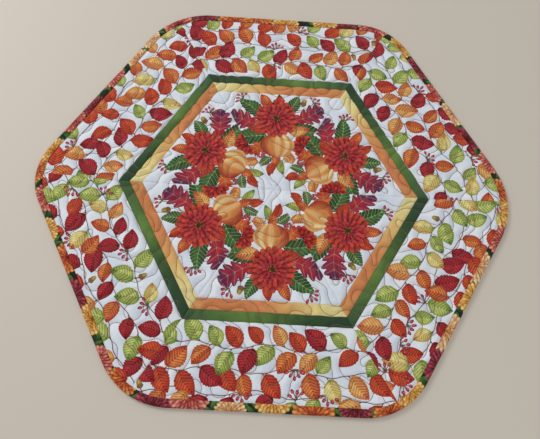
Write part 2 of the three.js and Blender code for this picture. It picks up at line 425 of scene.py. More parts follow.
# A motif along an axis, of half width w * t^blunt * (1 - t)^sharp, with t from 0 to 1 along it. Its widest
# place has the given width. Gives the distance to its edge, t, and the place across it from -1 to 1.
def motifShape(along, across, length, width, blunt, sharp):
    t = along / length + 0.5
    inside = np.clip(t, 1e-4, 1 - 1e-4)
    widest = blunt / (blunt + sharp)
    peak = widest**blunt * (1 - widest) ** sharp
    half = width / 2 * inside**blunt * (1 - inside) ** sharp / peak
    slope = np.clip(half * (blunt / inside - sharp / (1 - inside)) / length, -2.2, 2.2)
    distance = (np.abs(across) - half) / np.sqrt(1 + slope**2)
    beyond = np.hypot(np.maximum(np.abs(along) - length / 2, 0), np.abs(across))
    distance = np.where((t > 0) & (t < 1), distance, beyond)
    return distance, np.clip(t, 0, 1), np.clip(across / half, -1, 1)


# Ribs that run from end to end over a round fruit: the distance to the nearest line of longitude
def ribs(side, width, count):
    return np.sin(np.arcsin(side) * count) * width / 2 / count


leafColours = {  # blade, light between the veins, tip, foot, and the half that lies in shade
    "crimson": ("#a8222a", "#c8444a", "#8c1a24", "#86141f", "#93202a"),
    "scarlet": ("#c63f26", "#df7440", "#b02c24", "#b93426", "#b23026"),
    "orange": ("#d0602c", "#edb463", "#bd3c28", "#c94c28", "#bd3a26"),
    "amber": ("#df9447", "#f3dc94", "#cc4a2c", "#dd8f42", "#c9622f"),
    "butter": ("#e2cf7c", "#f4ecb4", "#c98a3c", "#9aa544", "#cfae58"),
    "lime": ("#a9b64a", "#e6e8a6", "#4f7a2a", "#7f9a3a", "#8a9c3a"),
    "green": ("#1f5428", "#4a8038", "#2f6a2a", "#143418", "#173f20"),
}


# A beech leaf: pointed at both ends, with a midrib, side veins that slant towards its tip, and an edge that
# swells between them. The two halves differ in shade.
def beechLeaf(cloth, layer, x, y, length, turn, kind, plump=0.68, pale=0.0):
    main, light, tip, foot, shaded = paints(leafColours[kind])
    near, along, across = around(cloth, x, y, turn, length * 0.5 + 4)
    across = across - 0.3 * along * along / length
    width, pitch = length * plump, max(length * 0.115, 2.6)
    vein = (along - 0.75 * np.abs(across)) / pitch
    swell = 1 + 0.06 * np.cos(2 * math.pi * vein)
    distance, t, side = motifShape(along, across * swell, length, width, 0.72, 0.95)
    lit = np.sin(math.pi * vein) ** 2 * (1 - side**2)
    colour = blend(main, shaded, ease(-0.1, 0.15, side) * 0.75)
    colour = blend(colour, light, lit * (0.75 - 0.35 * ease(-0.1, 0.15, side)))
    colour = blend(colour, tip, ease(0.6, 0.98, t) * 0.8)
    colour = blend(colour, foot, ease(0.2, 0.02, t))
    blotch = 1 + 0.14 * noise(along, across, 2.6, 31)
    colour = colour * (1 - 0.25 * side**4)[:, None] * blotch[:, None]
    lines = np.sin(math.pi * vein) * pitch / math.pi * np.clip(across / 1.1, -1, 1)
    stamp(cloth, layer, near, distance, colour, lines, pale)


smallColours = {
    "hip": ("#ad1d33", "#5f1a1e", "#e8929a"),  # fruit, tip, glint
    "acorn": ("#8f8a3a", "#b98a3c", "#6b6a2c"),  # foot, tip, edge
    "cup": ("#6b4526", "#a07a44"),  # between the scales, and on them
    "eye": ("#4a2412", "#e0a83c"),  # dome, pollen
}


hipSize = {"length": 5.2, "apart": 34}  # mm, and degrees between two in a spray


# A rose hip: a small oval with a pale glint and a dark rim
def hip(cloth, x, y, turn):
    length = hipSize["length"]
    main, tip, shine = paints(smallColours["hip"])
    near, along, across = around(cloth, x, y, turn, length + 2)
    distance, t, _ = motifShape(along, across, length, length * 0.7, 0.5, 0.62)
    glint = np.exp(-(((along + 0.5) ** 2 + (across - 0.6) ** 2) / 0.8))
    colour = blend(blend(main, tip, ease(0.8, 1, t)), shine, glint * 0.85)
    stamp(cloth, "front", near, distance, colour, distance + 0.15)


# A thin twig from one place to another, along an arc that bows out by bow mm. It keeps the signed distance to
# its middle, so that the material can draw it thinner than the points are apart.
def twig(cloth, x0, y0, x1, y1, bow):
    chord = math.hypot(x1 - x0, y1 - y0)
    turn = math.degrees(math.atan2(y1 - y0, x1 - x0))
    near, along, across = around(cloth, (x0 + x1) / 2, (y0 + y1) / 2, turn, chord / 2 + abs(bow) + 3)
    bow = bow if abs(bow) > 0.05 else 0.05
    radius = (chord**2 / 4 + bow**2) / (2 * bow)
    signed = (np.hypot(along, across - bow + radius) - abs(radius)) * math.copysign(1, radius)
    closest = np.minimum(1.5, np.abs(cloth["twigs"][near, 0]))
    beside = (np.abs(along) < chord / 2 + 0.3) & (np.abs(signed) < closest)
    beside &= (across - bow + radius) * radius > 0
    cloth["twigs"][near[beside], 0] = signed[beside]
    cloth["twigs"][near[beside], 1] = 1


def stepFrom(x, y, far, turn):  # the place far mm away, at a turn in degrees
    return x + far * math.cos(math.radians(turn)), y + far * math.sin(math.radians(turn))


# Hips in a spray, each on its own stalk from one place
def spray(cloth, x, y, turn, count, reach):
    for i in range(count):
        tipTurn = turn + hipSize["apart"] * (i - (count - 1) / 2)
        tipX, tipY = stepFrom(x, y, reach * (1 - 0.16 * (i % 2)), tipTurn)
        twig(cloth, x, y, tipX, tipY, 0.6 - 0.6 * (i % 3))
        hip(cloth, tipX, tipY, tipTurn)


# A pointed leaf with a line down its middle
def leaf(cloth, layer, x, y, length, width, turn, codes, blunt=0.8, sharp=1.0, pale=0.0):
    start, end, edge = paints(codes)
    near, along, across = around(cloth, x, y, turn, length * 0.5 + 3)
    distance, t, side = motifShape(along, across, length, width, blunt, sharp)
    colour = blend(start, end, ease(0.2, 0.9, t + 0.15 * noise(along, across, 3, 41)))
    colour = blend(colour, edge, ease(0.4, 1, np.abs(side)) * 0.7)
    stamp(cloth, layer, near, distance, colour, across, pale)


# An acorn: a smooth nut in a rough brown cup
def acorn(cloth, x, y, length, turn):
    leaf(cloth, "front", x, y, length, length * 0.62, turn, smallColours["acorn"], 0.42, 0.5, 1.0)
    near, along, across = around(cloth, *stepFrom(x, y, -0.3 * length, turn), turn, length)
    distance, t, side = motifShape(along, across, length * 0.5, length * 0.74, 0.5, 0.3)
    scales = np.sin(along * 2.4) * np.sin(across * 2.4)
    hollow, ridge = paints(smallColours["cup"])
    colour = blend(hollow, ridge, 0.5 + 0.5 * scales) * (1 - 0.3 * side**4)[:, None]
    stamp(cloth, "front", near, distance, colour, distance + 0.2)


# A ring of petals round a centre: each points outwards, dark at its foot and paler along its middle and tip
def petals(cloth, layer, x, y, inner, outer, count, phase, colours):
    foot, tip, edge = colours
    near, along, across = around(cloth, x, y, 0, outer + 3)
    radius, angle = np.hypot(along, across), np.arctan2(across, along) + phase
    cell = 2 * math.pi / count
    number = np.floor(angle / cell)
    uneven = np.sin(number * 2.3 + outer)
    away = angle - (number + 0.5) * cell
    length = outer - inner
    width = 1.04 * cell * (inner + 0.6 * length)  # so that neighbours just overlap
    out = radius * np.cos(away) - inner - length / 2 + 0.08 * uneven * length
    distance, t, side = motifShape(out, radius * np.sin(away), length, width, 0.8, 0.5)
    colour = blend(foot, tip, ease(0.2, 0.95, t + 0.1 * uneven))
    colour = blend(colour, tip, np.exp(-((side / 0.4) ** 2)) * 0.4 * t)
    colour = blend(colour, edge, ease(0.5, 1, np.abs(side)) * 0.75) * (1 + 0.1 * uneven)[:, None]
    stamp(cloth, layer, near, distance, colour, distance + 0.35)


# A flower seen from above: rings of petals from the outside in, over a dark disc
def flowerHead(cloth, layer, x, y, radius, codes, turn, rings, petalWidth, petalLength):
    foot, tip, innerTip, edge, gap = paints(codes)
    near, along, across = around(cloth, x, y, 0, radius)
    disc = np.hypot(along, across) - radius * 0.75
    stamp(cloth, layer, near, disc, gap + 0 * along[:, None])
    for ring in range(rings):
        share = ring / (rings - 1)
        outer = radius * (1 - 0.72 * share)
        inner = max(outer - radius * petalLength, 0)
        count = max(round(2 * math.pi * outer / (radius * petalWidth * (1 - 0.35 * share))), 6)
        colours = (blend(foot, gap, 0.3 * share), blend(tip, innerTip, share), edge)
        petals(cloth, layer, x, y, inner, outer, count, turn + ring * 1.37, colours)


# The eye of an open flower: a dark dome with specks of pollen that stand in rings
def flowerEye(cloth, x, y, radius):
    near, along, across = around(cloth, x, y, 0, radius + 2)
    far, angle = np.hypot(along, across), np.arctan2(across, along)
    specks = ease(0.35, 0.8, np.sin(far * 3.4) * np.sin(angle * 13 + far * 2))
    dome, pollen = paints(smallColours["eye"])
    colour = blend(dome, pollen, specks * ease(0.2, 0.8, far / radius))
    stamp(cloth, "front", near, far - radius, colour, 9)


# An oak leaf: round lobes on either side of a pale midrib, which slant towards the tip
def oakLeaf(cloth, layer, x, y, length, turn, codes):
    foot, tip, edge = paints(codes)
    near, along, across = around(cloth, x, y, turn, length * 0.5 + 4)
    across = across - 0.2 * along * along / length
    pitch = length * 0.21
    lobe = (along - 0.55 * np.abs(across)) / pitch
    reach = 0.5 + 0.5 * np.abs(np.cos(math.pi * lobe)) ** 0.7
    distance, t, side = motifShape(along, across / reach, length, length * 0.68, 0.9, 0.5)
    px, py = cloth["x"][near], cloth["y"][near]
    colour = blend(foot, tip, ease(0.3, 0.95, t + 0.25 * noise(px, py, 6, 51)))
    colour = blend(colour, edge, ease(0.5, 1, np.abs(side)) * 0.7)
    colour = colour * (1 + 0.1 * noise(px, py, 2.4, 52))[:, None]
    veins = np.sin(math.pi * lobe) * pitch / math.pi * np.clip(across / 1.2, -1, 1)
    stamp(cloth, layer, near, distance * 0.75, colour, veins, 0.7)


# A pumpkin from the side: broader than it is high, pale on top, with ribs that bow out from its stem
def pumpkin(cloth, layer, x, y, width, turn, codes):
    pale, main, shaded = paints(codes)
    near, along, across = around(cloth, x, y, turn, width * 0.6 + 3)
    high, wide = along / (width * 0.39), across / (width / 2)
    side = np.clip(wide / np.sqrt(np.clip(1 - high**2, 0.04, 1)), -1, 1)
    scallop = 0.035 * np.cos(np.arcsin(side) * 10)
    distance = (np.hypot(high, wide) - 1 - scallop * ease(0.2, 0.8, np.abs(high))) * width * 0.42
    between = np.cos(np.arcsin(side) * 5) ** 2
    colour = blend(main, shaded, ease(0.1, 0.95, side) * 0.8 + 0.2 * ease(0.2, -1, high))
    colour = blend(colour, pale, between * ease(0.8, -0.5, side) * (0.6 + 0.4 * ease(-0.2, 0.9, high)))
    colour = colour * (1 - 0.3 * side**6 + 0.06 * noise(along, across, 2.4, 61))[:, None]
    stamp(cloth, layer, near, distance, colour, ribs(side, width, 5))


# The print of a centre wedge, seen with the wedge's side at the top: x runs right and y from the middle out.
# An open flower on the wedge's axis, a pumpkin below it, and leaves, hips and acorns round both.
centrePrint = {
    "twigs": [  # from x, y, to x, y, and how far it bows out
        (-3, 21, -12, 44, -4),
        (9, 26, 15, 50, 4),
        (-20, 104, -46, 128, 4),
        (20, 112, 45, 127, -4),
    ],
    "beechLeaves": [  # x, y, length, turn, kind, breadth as a share of the length
        (-6, 28, 20, 250, "scarlet", 0.56),
        (6, 31, 21, 286, "lime", 0.5),
        (-14, 38, 22, 222, "green", 0.5),
        (17, 44, 23, 314, "amber", 0.56),
        (0, 41, 20, 268, "orange", 0.56),
        (-35, 73, 44, 190, "green", 0.52),
        (36, 84, 46, -8, "green", 0.5),
        (-27, 88, 34, 158, "scarlet", 0.52),
        (27, 84, 30, 8, "amber", 0.54),
        (-33, 116, 42, 144, "green", 0.48),
        (-17, 127, 24, 116, "orange", 0.56),
        (2, 128, 22, 92, "scarlet", 0.56),
        (20, 123, 32, 58, "green", 0.52),
    ],
    "aster": (36, 62, 17),  # x, y, radius
    "asterCodes": ("#8a161a", "#d8482c", "#c23a3a", "#a81f1f", "#4f0a10"),  # foot, tip, inner tip, edge, gaps
    "oakLeaves": [  # x, y, length, turn, kind
        (-45, 97, 44, 166, "plum"),
        (40, 107, 44, 30, "plum"),
        (-24, 56, 32, 222, "rust"),
    ],
    "plum": ("#b02a3a", "#5e2350", "#7a2444"),  # foot, tip, edge
    "rust": ("#d9702c", "#b83020", "#a8281e"),
    "sprays": [(-46, 128, 140, 5, 9), (45, 127, 40, 5, 9), (-12, 44, 150, 3, 7)],  # x, y, turn, hips, reach
    "stem": (4, 78, 14, 5.5, 74),  # x, y, length, width, turn
    "stemCodes": ("#5f3a1c", "#96622c", "#4a2c16"),
    "pumpkin": (1, 62, 43, 92),  # x, y, width, turn
    "pumpkinCodes": ("#f4e8ac", "#dd9048", "#b02e22"),  # pale, main, shaded
    "flower": (-2, 101, 28),
    "flowerCodes": ("#8a1720", "#d4523a", "#c03448", "#a01e28", "#570b14"),
    "eyeRadius": 5,
    "acorn": (33, 128, 11, 70),  # x, y, length, turn
}


def drawCentre(x, y):
    cloth = newPrint(x, y)
    look = centrePrint
    for places in look["twigs"]:
        twig(cloth, *places)
    for leafX, leafY, length, turn, kind, plump in look["beechLeaves"]:
        beechLeaf(cloth, "back", leafX, leafY, length, turn, kind, plump, 1.0 if kind == "green" else 0.0)
    shape = {"turn": 0.4, "rings": 3, "petalWidth": 0.42, "petalLength": 0.5}
    flowerHead(cloth, "back", *look["aster"], look["asterCodes"], **shape)
    for leafX, leafY, length, turn, kind in look["oakLeaves"]:
        oakLeaf(cloth, "back", leafX, leafY, length, turn, look[kind])
    for places in look["sprays"]:
        spray(cloth, *places)
    leaf(cloth, "front", *look["stem"], look["stemCodes"], blunt=0.3, sharp=0.2)
    pumpkin(cloth, "front", *look["pumpkin"], look["pumpkinCodes"])
    shape = {"turn": 0.3, "rings": 5, "petalWidth": 0.3, "petalLength": 0.46}
    flowerHead(cloth, "front", *look["flower"], look["flowerCodes"], **shape)
    flowerEye(cloth, *look["flower"][:2], look["eyeRadius"])
    acorn(cloth, *look["acorn"])
    return cloth


# The print of a border panel: branches that run along it, with beech leaves on alternate sides, and hips and
# acorns between them. Each panel is cut from another place in the cloth.
borderPrint = {
    "branches": [190, 215, 239],  # mm from the middle of the topper
    "reach": 170,  # mm that a branch runs to either side of the panel's middle
    "swing": 3.6,  # mm that a branch waves to either side
    "wave": 83,  # mm
    "leafPitch": 11.5,
    "leafLength": (23, 31),
    "leafStalk": 2.4,
    "leafTurn": (42, 66),  # degrees from the branch
    "leafRoom": 17,  # mm between the middles of two leaves, so that they hardly overlap
    "hipStalk": 8.5,
    "hipTurn": (62, 96),
    "hipRoom": 11.5,  # mm from a leaf's middle to a spray of hips or an acorn
    "sprayReach": 9.5,
    "acornLength": 9.5,
    "acornEvery": 4,  # every fourth stalk has an acorn
    "kinds": "scarlet amber crimson lime orange butter orange scarlet lime crimson".split(),
    "seed": 73,
}


def drawBorder(x, y, k):
    cloth = newPrint(x, y)
    look = borderPrint
    chance = np.random.default_rng(look["seed"] + k)
    taken, forks = [], []
    for row, distance in enumerate(look["branches"]):
        phase, grows = chance.uniform(0, 6.28), 1 - 2 * (row % 2)
        places = np.arange(-look["reach"], look["reach"], look["leafPitch"]) + chance.uniform(-2, 2)
        waves = distance + look["swing"] * np.sin(2 * math.pi * places / look["wave"] + phase)
        for i in range(len(places) - 1):
            fromX, fromY, toX, toY = places[i], waves[i], places[i + 1], waves[i + 1]
            twig(cloth, fromX, fromY, toX, toY, 0.5 - (i % 2))
            heading = math.degrees(math.atan2(toY - fromY, toX - fromX)) + (0 if grows > 0 else 180)
            above = 1 - 2 * (i % 2)
            spread = above * chance.uniform(*look["leafTurn"])
            length = chance.uniform(*look["leafLength"])
            leafX, leafY = stepFrom(fromX, fromY, look["leafStalk"] + length / 2, heading + spread)
            kind = look["kinds"][int(chance.uniform(0, len(look["kinds"])))]
            if all(math.hypot(leafX - a, leafY - b) > look["leafRoom"] for a, b in taken):
                taken.append((leafX, leafY))
                twig(cloth, fromX, fromY, leafX, leafY, 0.4)
                layer = "front" if above > 0 else "back"
                beechLeaf(cloth, layer, leafX, leafY, length, heading + spread, kind)
            forks.append((fromX, fromY, heading - above * chance.uniform(*look["hipTurn"])))
    for i, (fromX, fromY, turn) in enumerate(forks):
        tipX, tipY = stepFrom(fromX, fromY, look["hipStalk"], turn)
        if any(math.hypot(tipX - a, tipY - b) < look["hipRoom"] for a, b in taken):
            continue
        taken.append((tipX, tipY))
        if i % look["acornEvery"]:
            spray(cloth, fromX, fromY, turn, 4 + i % 2, look["sprayReach"])
        else:
            twig(cloth, fromX, fromY, tipX, tipY, 0.4)
            acorn(cloth, tipX, tipY, look["acornLength"], turn)
    return cloth


# The print of the binding: flower heads cut by the narrow strip, x along the edge and y across the fold
bindingPrint = {
    "heads": [  # foot, tip, inner tip, edge, gaps
        ("#c9752a", "#f3dc8a", "#e2b24a", "#d98f34", "#5a2410"),
        ("#a8381f", "#f0a858", "#d0622c", "#c24f26", "#3c0e0b"),
        ("#8f2430", "#f0a488", "#cf5a50", "#b83e40", "#3a0a14"),
        ("#5f1424", "#c0525c", "#8f2434", "#7c1a2c", "#2e0a14"),
        ("#d08a4a", "#f6e6bc", "#e6b880", "#dd9a60", "#6a2a14"),
    ],
    "leaf": ("#2c4a26", "#5f8a34", "#1c3319"),  # foot, tip, edge
    "leafPlaces": (-0.45, -0.3, 0.38, 0.5),  # shares of the pitch from a head
    "pitch": 41,
    "radius": (17, 24),
    "middle": 15,  # mm up the cloth from its lower lip to the middle of what shows
    "seed": 11,
}


def drawBinding(x, y, whole):
    cloth = newPrint(x, y)
    look = bindingPrint
    chance = np.random.default_rng(look["seed"])
    count = round(whole / look["pitch"])
    for i in range(count):
        place = (i + 0.5 + chance.uniform(-0.2, 0.2)) * whole / count
        for spread in look["leafPlaces"]:
            leafX = place + spread * look["pitch"]
            leafY = look["middle"] + chance.uniform(-6, 6)
            leaf(cloth, "back", leafX, leafY, 15, 5, chance.uniform(30, 150), look["leaf"])
        across = look["middle"] + (1 - 2 * (i % 2)) * chance.uniform(3, 12)
        codes = look["heads"][int(chance.uniform(0, len(look["heads"])))]
        radius = chance.uniform(*look["radius"])
        flowerHead(cloth, "front", place, across, radius, codes, chance.uniform(0, 3), 4, 0.25, 0.42)
    return cloth


# Adds one node with its settings and its inputs, in order or by name. An input is a value, or the socket or
# node that feeds it.
def addNode(tree, kind, inputs=(), **settings):
    node = tree.nodes.new("ShaderNode" + kind)
    for name, value in settings.items():
        setattr(node, name, value)
    for name, value in inputs.items() if isinstance(inputs, dict) else enumerate(inputs):
        if isinstance(value, bpy.types.Node):  # by the first of its outputs that is in use
            value = next(output for output in value.outputs if output.enabled)
        if isinstance(value, bpy.types.NodeSocket):
            tree.links.new(value, node.inputs[name])
        else:
            node.inputs[name].default_value = value
    return node


def rgba(code):
    return (*linear(code), 1)


def newMaterial(name):  # the material, and what adds a node to it
    material = bpy.data.materials.new(name)
    material.use_nodes = True
    material.node_tree.nodes.clear()
    return material, partial(addNode, material.node_tree)


cotton = {
    "threadPitch": 0.5,  # mm. Quilting cotton has about 0.37, drawn a little coarser so that it shows
    "threadHeight": 0.06,
    # painted shade: how much darker the colour is made in the weave's hollows
    "paintedHollowShade": 0.035,
    "slubScale": 0.35,  # slubs are about three threads long
    "slubShade": 0.16,
    "slubHeight": 0.8,  # as a share of the weave's
    "bump": 0.55,
    "roughness": 0.88,
    "sheen": 0.12,
    "specular": 0.25,
}


# Plain-woven quilting cotton: quite matt, with a faint fuzz that lightens it where it is seen at a slant. The
# weave is a product of two waves across the threads, and slubs make the threads a little uneven. The colour
# holds painted shade in the weave's hollows, which the bump also sinks.
def cottonSurface(add, colour):
    plan = add("UVMap", uv_map="weave")
    place = add("VectorMath", {0: plan, 3: 1000 / cotton["threadPitch"]}, operation="SCALE")
    waves = []
    for across in add("SeparateXYZ", [place]).outputs[:2]:
        angle = add("Math", [across, math.pi], operation="MULTIPLY")
        waves.append(add("Math", [angle], operation="SINE"))
    weave = add("Math", waves, operation="MULTIPLY")
    slubs = add("TexNoise", {"Vector": place, "Scale": cotton["slubScale"], "Detail": 2.0})
    shade = add("Math", [slubs, cotton["slubShade"], 0.92], operation="MULTIPLY_ADD")
    # painted shade: the weave darkens the colour in its hollows, where the bump sinks the threads
    shade = add("Math", [weave, cotton["paintedHollowShade"], shade], operation="MULTIPLY_ADD")
    tone = add("CombineColor", [shade, shade, shade])
    woven = add("Mix", {0: 1.0, 6: colour, 7: tone}, data_type="RGBA", blend_type="MULTIPLY")
    lift = add("Math", [slubs, cotton["slubHeight"], weave], operation="MULTIPLY_ADD")
    raised = {"Strength": cotton["bump"], "Distance": cotton["threadHeight"] * 0.001, "Height": lift}
    finish = {
        "Base Color": woven,
        "Roughness": cotton["roughness"],
        "Sheen Weight": cotton["sheen"],
        "Specular IOR Level": cotton["specular"],
        "Normal": add("Bump", raised),
    }
    add("OutputMaterial", [add("BsdfPrincipled", finish)])


inks = {
    "whiteGround": ("#dfe5ee", "#eef1f5"),
    "darkGround": ("#141c15", "#22301f"),
    "cloudSize": 28,  # mm
    "twig": "#6b4a34",
    "twigReach": (0.55, 0.38),  # mm from its middle, where the ink ends and where it is whole
    "motifReach": 0.08,  # mm on either side of a motif's edge, over which its ink ends
    "lineReach": (0.4, 0.14),
    "lineStrength": 0.8,
    "paleLine": "#dfe0a0",
    "paleStrength": 0.6,
}


# Printed cotton: the ink lies in the weave, so that it is as matt as the bare cloth. A faintly clouded ground
# is covered by twigs, and then by two layers of motifs, each cut off where its distance crosses 0.
def printedCotton(name, grounds):
    material, add = newMaterial(name)
    layers = {
        layer: add("Attribute", attribute_name=layer).outputs["Vector"]
        for layer in ("twigs", "back", "backLines", "front", "frontLines")
    }
    place = add("TexCoord").outputs["Object"]
    cloud = add("TexNoise", {"Vector": place, "Scale": 1000 / inks["cloudSize"], "Detail": 3.0})
    cloud = add("MapRange", [cloud, 0.38, 0.62])
    colour = add("Mix", {0: cloud, 6: rgba(grounds[0]), 7: rgba(grounds[1])}, data_type="RGBA")
    toMiddle, isTwig, _ = add("SeparateXYZ", [layers["twigs"]]).outputs
    onTwig = add("MapRange", [add("Math", [toMiddle], operation="ABSOLUTE"), *inks["twigReach"]])
    isTwig = add("Math", [isTwig, 0.5], operation="GREATER_THAN")
    onTwig = add("Math", [onTwig, isTwig], operation="MULTIPLY")
    colour = add("Mix", {0: onTwig, 6: colour, 7: rgba(inks["twig"])}, data_type="RGBA")
    for layer in ("back", "front"):
        motif = layers[layer]
        toEdge, toLine, isPale = add("SeparateXYZ", [layers[layer + "Lines"]]).outputs
        inside = add("MapRange", [toEdge, inks["motifReach"], -inks["motifReach"]])
        toLine = add("Math", [toLine], operation="ABSOLUTE")
        onLine = add("MapRange", [toLine, *inks["lineReach"], 0.0, inks["lineStrength"]])
        dark = add("Mix", {0: 1.0, 6: motif, 7: motif}, data_type="RGBA", blend_type="MULTIPLY")
        pale = add("Mix", {0: inks["paleStrength"], 6: motif, 7: rgba(inks["paleLine"])}, data_type="RGBA")
        lined = add("Mix", {0: isPale, 6: dark, 7: pale}, data_type="RGBA")
        motif = add("Mix", {0: onLine, 6: motif, 7: lined}, data_type="RGBA")
        colour = add("Mix", {0: inside, 6: colour, 7: motif}, data_type="RGBA")
    cottonSurface(add, colour)
    return material


strips = {  # places along a strip and the dye there
    "peach": [  # cream that warms to apricot
        (0, "#eadf9e"),
        (0.2, "#ecd48c"),
        (0.38, "#e2ab66"),
        (0.55, "#d98a55"),
        (0.85, "#d48450"),
        (1, "#d99c5e"),
    ],
    "green": [  # bottle green at the corners and moss green between them
        (0, "#2d4430"),
        (0.25, "#34502f"),
        (0.48, "#526f35"),
        (0.62, "#66863f"),
        (0.82, "#53723b"),
        (1, "#3b583a"),
    ],
    "mottleScale": 95,  # patches about 10 mm wide
    "mottleShift": 0.1,  # share of the strip by which a patch's dye may be shifted
    "mottleShade": (0.86, 1.1),
}


# Hand-shaded cotton: as matt as the printed one. Its dye changes along the strip, with faint mottling.
def shadedCotton(name, stops):
    material, add = newMaterial(name)
    place = add("TexCoord").outputs["Object"]
    mottle = add("TexNoise", {"Vector": place, "Scale": strips["mottleScale"], "Detail": 4.0})
    along = add("SeparateXYZ", [add("Attribute", attribute_name="along").outputs["Vector"]])
    along = add("Math", [along, strips["mottleShift"] / 2], operation="SUBTRACT")
    along = add("Math", [mottle, strips["mottleShift"], along], operation="MULTIPLY_ADD")
    ramp = add("ValToRGB", [along])
    elements = ramp.color_ramp.elements
    while len(elements) < len(stops):
        elements.new(0.5)
    for element, (share, code) in zip(elements, stops):
        element.position = share
        element.color = rgba(code)
    tone = add("MapRange", [mottle, 0.3, 0.7, *strips["mottleShade"]])
    tone = add("CombineColor", [tone, tone, tone])
    cottonSurface(add, add("Mix", {0: 1.0, 6: ramp, 7: tone}, data_type="RGBA", blend_type="MULTIPLY"))
    return material


print("materials")
# bleached cotton under the centre and border prints, a cool white between the motifs
centreCotton = printedCotton("printed_cotton_centre", inks["whiteGround"])
borderCotton = printedCotton("printed_cotton_border", inks["whiteGround"])
# the binding's cotton is dyed nearly black, so that its flowers stand out
bindingCotton = printedCotton("printed_cotton_binding", inks["darkGround"])
peachCotton = shadedCotton("shaded_cotton_peach", strips["peach"])
greenCotton = shadedCotton("shaded_cotton_green", strips["green"])
# unprinted cotton on the underside, in the warm off-white of its own yarn
backMaterial, addToBack = newMaterial("plain_cotton_backing")
cottonSurface(addToBack, rgba("#e9e3d3"))


# A panel of side k between two rows, each given as a function of the place along it from 0 to 1. The puffed
# face is a fine patch and the underside a coarse one, and four walls zipped between them close it.
def panel(name, k, innerRow, outerRow, numbersAt, material):
    normal = towards(sideAngle(k))
    right = -turned(normal)
    innerEnds = innerRow(np.array([0.0, 1.0]))
    innerWidth = np.linalg.norm(innerEnds[1] - innerEnds[0])
    half = np.array([0.5])
    depth = float(np.dot(outerRow(half)[0] - innerRow(half)[0], normal))
    parts = []
    for spacing in (topper["pointSpacing"], topper["backSpacing"]):
        rows = max(round(depth / spacing / (math.sqrt(3) / 2)), 2)
        row, place, triangles, chains = patch(round(innerWidth / spacing), rows)
        flat = innerRow(place) * (1 - row[:, None]) + outerRow(place) * row[:, None]
        parts.append((flat, triangles, chains))
    (face, faceTriangles, faceChains), (under, underTriangles, underChains) = parts
    count = len(face)
    plan = np.concatenate([face, under])
    heights = np.concatenate([topHeight(face[:, 0], face[:, 1]), underHeight(under[:, 0], under[:, 1])])
    below = {chain: points + count for chain, points in underChains.items()}
    walls = [
        zipped(faceChains["first"], below["first"]),
        zipped(below["last"], faceChains["last"]),
        zipped(below["inner"], faceChains["inner"]),
        zipped(faceChains["outer"], below["outer"]),
    ]
    triangles = np.concatenate([faceTriangles, *walls, underTriangles[:, ::-1] + count])
    slots = np.zeros(len(triangles))
    slots[-len(underTriangles) :] = 1
    x, y = plan @ right, plan @ normal
    points, cut = np.column_stack([plan, heights]), np.column_stack([x, y])
    piece = newPiece(name, points, triangles, [material, backMaterial], numbersAt(x, y), cut, slots)
    return piece


# A straight row of side k at a distance from the middle, between its two mitred seams
def straightRow(k, distance):
    def row(place):
        normal = towards(sideAngle(k))
        reach = distance * math.tan(sixth / 2) - topper["seamGap"] / 2 / math.cos(sixth / 2)
        return normal * distance + turned(normal) * (max(reach, 0) * (2 * place - 1))[:, None]

    return row


# The border's outer row lies in the binding's fold.
def curvedRow(k):
    def row(place):
        point, out = trimmedEdge(k, topper["cornerGap"] + place * (1 - 2 * topper["cornerGap"]))
        return point - out * relief["rimInset"]

    return row


def printNumbers(draw, *cut):
    return lambda x, y: layersOf(draw(x, y, *cut))


def alongNumbers(x, y):  # 0 to 1 along a strip
    reach = np.maximum(np.abs(x).max(), 1)
    return {"along": np.column_stack([x / reach / 2 + 0.5, 0 * x, 0 * x])}


# The four panels of each side, from the middle out, with half of a seam's gap at either edge
for k in range(6):
    gap = topper["seamGap"] / 2
    seams = [wedgeApothem, peachApothem, greenApothem]
    innerRows = [straightRow(k, distance + gap) for distance in [gap, *seams]]
    outerRows = [straightRow(k, distance - gap) for distance in seams] + [curvedRow(k)]
    cloths = [  # cloth, node, slot, material and print
        ("wedge_cloth_", "centre_wedge_", "centre_print", centreCotton, printNumbers(drawCentre)),
        ("peach_cloth_", "peach_strip_", "peach_strip", peachCotton, alongNumbers),
        ("green_cloth_", "green_strip_", "green_strip", greenCotton, alongNumbers),
        ("border_cloth_", "border_panel_", "border_print", borderCotton, printNumbers(drawBorder, k)),
    ]
    n = str(k + 1)
    for (cloth, node, slotName, material, numbersAt), inner, outer in zip(cloths, innerRows, outerRows):
        piece = panel(cloth + n, k, inner, outer, numbersAt, material)
        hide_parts(node + n)
    print("side", n)


# The binding: a profile carried round the trimmed edge. The profile is how far each of its points lies inside
# the edge and above the table, from the lower lip round the fold to the upper lip, and back round the rim.
binding = {
    "alongSpacing": 1.05,
    "under": [(9, 0), (7, 0), (5, 0), (3.2, 0), (1.9, 0.12), (0.9, 0.55), (0.25, 1.25), (0, 2.2), (0.2, 3.1)],
    "over": [(0.8, 3.8), (1.8, 4.3), (3.1, 4.56), (4.6, 4.64), (6.1, 4.58), (7.4, 4.38), (8.4, 4.05)],
    "lip": [(8.95, 3.62)],
    "inside": [(9, 3.2), (6, 3.2), (3, 3.2), (1.45, 3.1), (1.2, 2.1), (1.45, 1.05), (4, 0.95), (8.6, 0.9)],
    "ripple": 0.22,
    "swell": 0.35,  # share of the ripple that is a slow swell of the fold
    "swellWaves": (37, 61),  # round the edge
    "gather": 0.6,  # share of the ripple that is small gathers from the stitches at the lip
    "gatherPitch": 5.2,
    "gatherWaves": 31,  # round the edge, by which the gathers stray from an even pitch
    "gatherWander": 2.5,  # radians
    "lipPull": 0.3,  # that a gather draws the lip in
}


